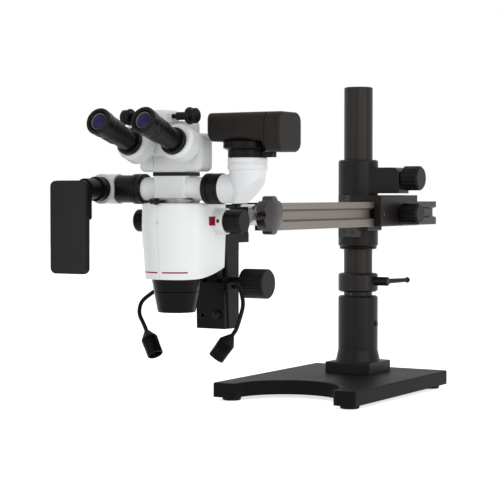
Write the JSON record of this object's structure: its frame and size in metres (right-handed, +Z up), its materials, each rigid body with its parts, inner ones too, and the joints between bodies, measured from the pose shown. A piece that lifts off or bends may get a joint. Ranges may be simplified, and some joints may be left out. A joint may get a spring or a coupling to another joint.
{
  "type": "stereo microscope on boom stand",
  "caption": "Binocular stereo microscope with zoom body, side display, camera port and bent-neck lamps, on a sliding boom arm over a weighted plate with a round column",
  "frame": {"origin": "on the floor under the middle of the whole instrument's footprint", "axes": "+X to the operator's right, +Y away from the operator along the boom arm, +Z up along the column"},
  "size_m": [0.349, 0.9644, 0.507],
  "materials": {
    "black_powder_coat": "matte",
    "foot_rubber": "matte",
    "screw_steel": "satin",
    "column_steel": "satin",
    "bush_bronze": "satin",
    "lever_black": "satin",
    "knob_black": "matte",
    "arm_aluminium": "satin",
    "arm_head_black": "matte",
    "focus_black": "satin",
    "gear_steel": "polished",
    "cover_white": "gloss",
    "chassis_aluminium": "satin",
    "optics_black": "satin",
    "lens_glass": "polished",
    "optics_white": "satin",
    "eyepiece_black": "satin",
    "display_black": "satin",
    "holder_black": "matte",
    "camera_black": "satin",
    "neck_black": "satin",
    "lamp_black": "satin"
  },
  "bodies": {
    "stand": {"base_plate": "black_powder_coat", "base_feet": "foot_rubber", "stand_screws": "screw_steel", "column_socket": "black_powder_coat", "column_bar": "column_steel"},
    "collar": {"safety_collar": "black_powder_coat"},
    "collar_lever": {"collar_lever": "lever_black"},
    "slider": {"carriage_bush": "bush_bronze"},
    "carriage": {"carriage_sleeve": "black_powder_coat", "arm_guide": "black_powder_coat", "guide_shoes": "bush_bronze", "carriage_screws": "screw_steel"},
    "height_knob": {"height_knob": "knob_black"},
    "arm_lock_knob": {"arm_lock_knob": "knob_black"},
    "arm": {"arm_bar": "arm_aluminium", "arm_head": "arm_head_black", "tilt_axle": "screw_steel"},
    "star_knob": {"star_knob": "knob_black"},
    "tilt_block": {"tilt_barrel": "arm_aluminium", "focus_column": "focus_black", "power_jack": "holder_black"},
    "tension_lever": {"tension_lever": "lever_black"},
    "dimmer": {"dimmer_knob": "knob_black"},
    "focus_drive": {"focus_shaft": "gear_steel", "focus_knobs": "knob_black"},
    "scope": {"focus_slide": "focus_black", "focus_rack": "gear_steel", "zoom_cover_left": "cover_white", "zoom_cover_right": "cover_white", "cover_screws": "screw_steel", "zoom_chassis": "chassis_aluminium", "objective_housing": "optics_black", "objective_lens": "lens_glass", "beam_splitter": "optics_white", "head_plate": "optics_black", "left_coupler": "optics_black", "left_elbow": "optics_white", "right_coupler": "optics_black", "right_elbow": "optics_white", "head_base": "optics_white"},
    "zoom_drive": {"zoom_shaft": "gear_steel", "zoom_knobs": "knob_black"},
    "zoom_cells": {"zoom_lens_cells": "chassis_aluminium"},
    "thumb_screw": {"thumb_screw": "optics_black"},
    "head": {"head_housing": "optics_white"},
    "ipd_drive": {"ipd_knobs": "knob_black"},
    "eye_left": {"prism_housing_left": "optics_white", "eye_tube_left": "optics_black"},
    "eye_right": {"prism_housing_right": "optics_white", "eye_tube_right": "optics_black"},
    "diopter_left": {"eyepiece_left": "eyepiece_black"},
    "diopter_right": {"eyepiece_right": "eyepiece_black"},
    "display": {"phone_holder": "holder_black", "phone_display": "display_black"},
    "camera": {"camera_adapter": "optics_black", "camera_body": "camera_black"},
    "lamp_left": {"lamp_neck_left": "neck_black", "lamp_head_left": "lamp_black"},
    "lamp_right": {"lamp_neck_right": "neck_black", "lamp_head_right": "lamp_black"}
  },
  "joints": [
    {"name": "collar_slide", "type": "slide", "parent": "stand", "child": "collar", "axis": [0, 0, 1], "range_m": [-0.0008, 0.015]},
    {"name": "collar_lever_turn", "type": "hinge", "parent": "collar", "child": "collar_lever", "pos_m": [-0.0085, 0.30321, 0.182], "axis": [1, 0, 0], "range_deg": [-60, 60]},
    {"name": "height_slide", "type": "slide", "parent": "stand", "child": "slider", "axis": [0, 0, 1], "range_m": [-0.02, 0.11]},
    {"name": "carriage_swing", "type": "hinge", "parent": "slider", "child": "carriage", "pos_m": [-0.0485, 0.30321, 0.312], "axis": [0, 0, 1], "continuous": true},
    {"name": "height_knob_turn", "type": "hinge", "parent": "carriage", "child": "height_knob", "pos_m": [0.0415, 0.30721, 0.354], "axis": [1, 0, 0], "range_deg": [-90, 360]},
    {"name": "arm_lock_turn", "type": "hinge", "parent": "carriage", "child": "arm_lock_knob", "pos_m": [0.0415, 0.31121, 0.295], "axis": [1, 0, 0], "range_deg": [-90, 360]},
    {"name": "arm_slide", "type": "slide", "parent": "carriage", "child": "arm", "axis": [0, 1, 0], "range_m": [-0.1, 0.2]},
    {"name": "star_knob_turn", "type": "hinge", "parent": "arm", "child": "star_knob", "pos_m": [0.0395, -0.15579, 0.298], "axis": [1, 0, 0], "range_deg": [-180, 180]},
    {"name": "tilt", "type": "hinge", "parent": "arm", "child": "tilt_block", "pos_m": [0.0095, -0.15579, 0.298], "axis": [1, 0, 0], "range_deg": [-20, 25]},
    {"name": "tension_lever_turn", "type": "hinge", "parent": "tilt_block", "child": "tension_lever", "pos_m": [0.0095, -0.20079, 0.312], "axis": [0, 0, 1], "range_deg": [-8, 30]},
    {"name": "dimmer_turn", "type": "hinge", "parent": "tilt_block", "child": "dimmer", "pos_m": [0.013, -0.26179, 0.163], "axis": [0, -1, 0], "range_deg": [-150, 150]},
    {"name": "focus_slide", "type": "slide", "parent": "tilt_block", "child": "scope", "axis": [0, 0, 1], "range_m": [-0.02, 0.02]},
    {"name": "focus_turn", "type": "hinge", "parent": "tilt_block", "child": "focus_drive", "pos_m": [0.0025, -0.24229, 0.206], "axis": [1, 0, 0], "range_deg": [-180, 180]},
    {"name": "zoom_turn", "type": "hinge", "parent": "scope", "child": "zoom_drive", "pos_m": [0.0025, -0.30979, 0.292], "axis": [1, 0, 0], "range_deg": [-60, 180]},
    {"name": "zoom_cell_slide", "type": "slide", "parent": "scope", "child": "zoom_cells", "axis": [0, 0, 1], "range_m": [-0.0094, 0.0282]},
    {"name": "thumb_screw_turn", "type": "hinge", "parent": "scope", "child": "thumb_screw", "pos_m": [0.0025, -0.39379, 0.3186], "axis": [0, -1, 0], "range_deg": [-180, 180]},
    {"name": "head_tilt", "type": "hinge", "parent": "scope", "child": "head", "pos_m": [0.0025, -0.34479, 0.384], "axis": [1, 0, 0], "range_deg": [-15, 15]},
    {"name": "eye_right_slide", "type": "slide", "parent": "head", "child": "eye_right", "axis": [1, 0, 0], "range_m": [-0.006, 0.004]},
    {"name": "eye_left_slide", "type": "slide", "parent": "head", "child": "eye_left", "axis": [1, 0, 0], "range_m": [-0.004, 0.006]},
    {"name": "ipd_turn", "type": "hinge", "parent": "head", "child": "ipd_drive", "pos_m": [0.0025, -0.38479, 0.429], "axis": [1, 0, 0], "range_deg": [-216, 145]},
    {"name": "diopter_left_turn", "type": "hinge", "parent": "eye_left", "child": "diopter_left", "pos_m": [-0.0315, -0.40279, 0.3955], "axis": [0, -0.9455, 0.3256], "range_deg": [-160, 160]},
    {"name": "diopter_right_turn", "type": "hinge", "parent": "eye_right", "child": "diopter_right", "pos_m": [0.0365, -0.40279, 0.3955], "axis": [0, -0.9455, 0.3256], "range_deg": [-160, 160]},
    {"name": "display_turn", "type": "hinge", "parent": "scope", "child": "display", "pos_m": [-0.1045, -0.37679, 0.335], "axis": [0, 1, 0], "range_deg": [-10, 90]},
    {"name": "camera_turn", "type": "hinge", "parent": "scope", "child": "camera", "pos_m": [0.1115, -0.34479, 0.38], "axis": [0, 0, 1], "range_deg": [-90, 90]},
    {"name": "lamp_left_bend", "type": "hinge", "parent": "tilt_block", "child": "lamp_left", "pos_m": [-0.02, -0.25679, 0.195], "axis": [1, 0, 0], "range_deg": [-20, 10]},
    {"name": "lamp_right_bend", "type": "hinge", "parent": "tilt_block", "child": "lamp_right", "pos_m": [0.025, -0.25679, 0.195], "axis": [1, 0, 0], "range_deg": [-20, 10]}
  ],
  "couplings": [
    {"joint": "focus_turn", "follows": "focus_slide", "rad_per_m": -156.25},
    {"joint": "zoom_turn", "follows": "zoom_cell_slide", "rad_per_m": 111},
    {"joint": "eye_left_slide", "follows": "eye_right_slide", "ratio": -1},
    {"joint": "ipd_turn", "follows": "eye_right_slide", "rad_per_m": 628}
  ]
}
